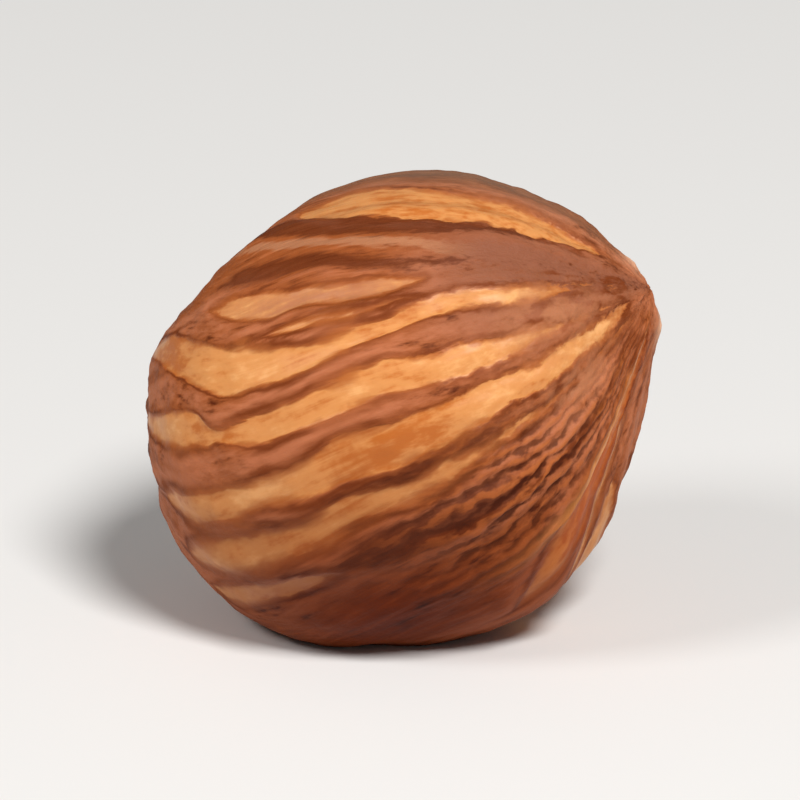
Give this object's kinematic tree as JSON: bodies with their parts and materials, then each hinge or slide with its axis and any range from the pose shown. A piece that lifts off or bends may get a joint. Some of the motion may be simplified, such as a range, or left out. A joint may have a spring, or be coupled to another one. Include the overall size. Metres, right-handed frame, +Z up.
{
  "type": "shelled hazelnut",
  "caption": "Shelled hazelnut kernel in its striped brown and golden skin, lying on its side with the pointed tip raised and the rough base scar low",
  "frame": {"origin": "on the small flat that the kernel rests on, straight under the middle of the kernel", "axes": "+X towards the pointed tip, +Y away from the side that shows best, +Z up"},
  "size_m": [0.0157, 0.0132, 0.0139],
  "materials": {
    "skin": "satin"
  },
  "bodies": {
    "root": {"kernel": "skin"}
  },
  "joints": []
}
